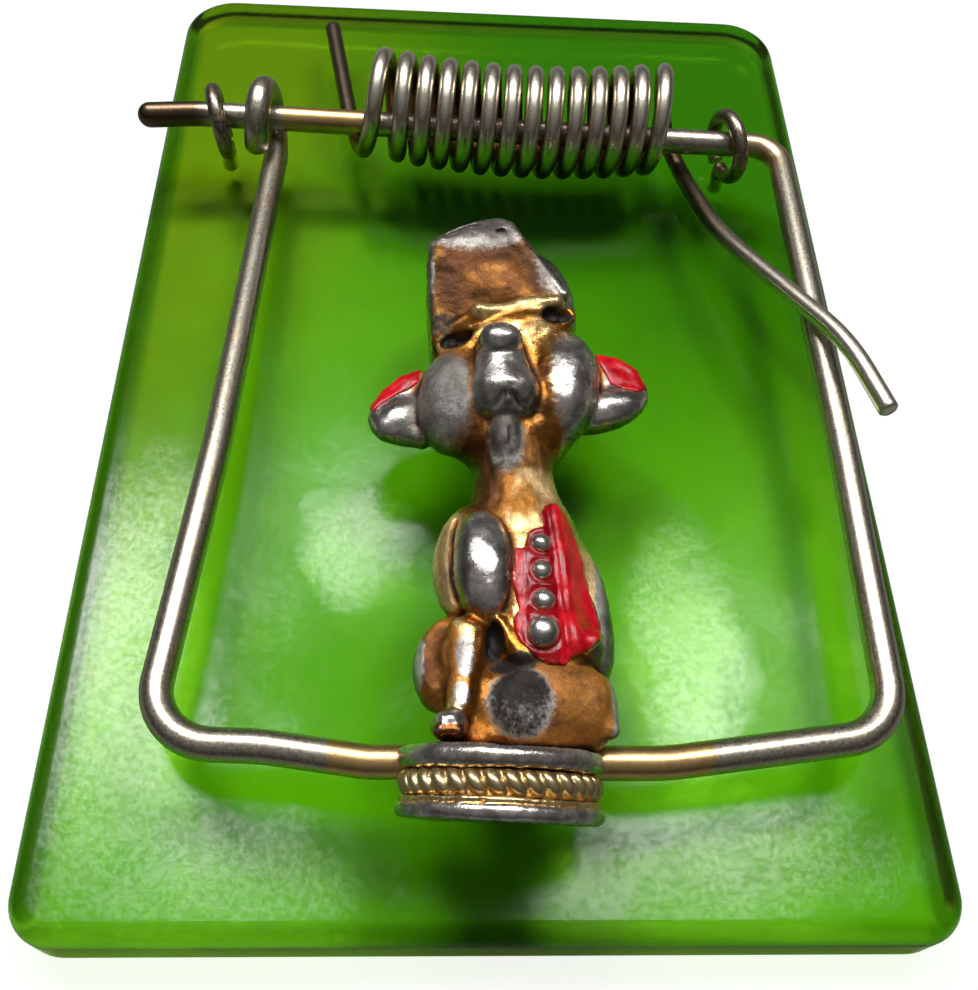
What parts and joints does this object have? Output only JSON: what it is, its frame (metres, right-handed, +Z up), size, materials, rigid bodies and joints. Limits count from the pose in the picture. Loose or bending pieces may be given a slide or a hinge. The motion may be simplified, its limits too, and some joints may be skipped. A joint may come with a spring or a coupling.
{
  "type": "snap trap novelty clip",
  "caption": "Desk clip built like a snap mouse trap: sprung wire bail with a cast seated figure, hinged in screw eyes on a clear green acrylic block.",
  "frame": {"origin": "centre of the block's flat bottom face", "axes": "+Z up out of the block, +Y along the block towards the spring, +X to the right seen from the figure's plinth"},
  "size_m": [0.0522, 0.078, 0.0155],
  "materials": {
    "green_acrylic": "clear green acrylic, polished, fine scratches on the top face",
    "nickel_wire": "nickel-plated steel wire with a worn gold wash",
    "spring_wire": "bright spring steel wire, slightly tarnished between the turns",
    "gilt_pewter": "antique gilding over a cast grey metal, rubbed grey on the high points and dark in the creases",
    "red_enamel": "glossy red enamel filled in by hand"
  },
  "bodies": {
    "root": {"base_block": "green_acrylic", "screw_eye_left": "nickel_wire", "screw_eye_right": "nickel_wire", "torsion_spring": "spring_wire"},
    "bail": {"striker_bail": "nickel_wire", "plinth": "gilt_pewter", "rope_band": "gilt_pewter", "figure_seat": "gilt_pewter", "figure_body": "gilt_pewter", "figure_head": "gilt_pewter", "arm_left": "gilt_pewter", "arm_right": "gilt_pewter", "haunch_left": "gilt_pewter", "leg_left": "gilt_pewter", "figure_cap": "gilt_pewter", "nose": "gilt_pewter", "ear_left": "gilt_pewter", "ear_right": "gilt_pewter", "ear_enamel": "red_enamel", "jacket_enamel": "red_enamel", "jacket_buttons": "gilt_pewter"}
  },
  "joints": [
    {"name": "bail_swing", "type": "hinge", "parent": "root", "child": "bail", "pos_m": [0, 0.0191, 0.00809], "axis": [-0.9996, 0.029, 0], "range_deg": [0, 150], "stiffness_Nm_per_rad": 0.04, "springref_deg": -68.75, "deforming": ["torsion_spring"]}
  ]
}
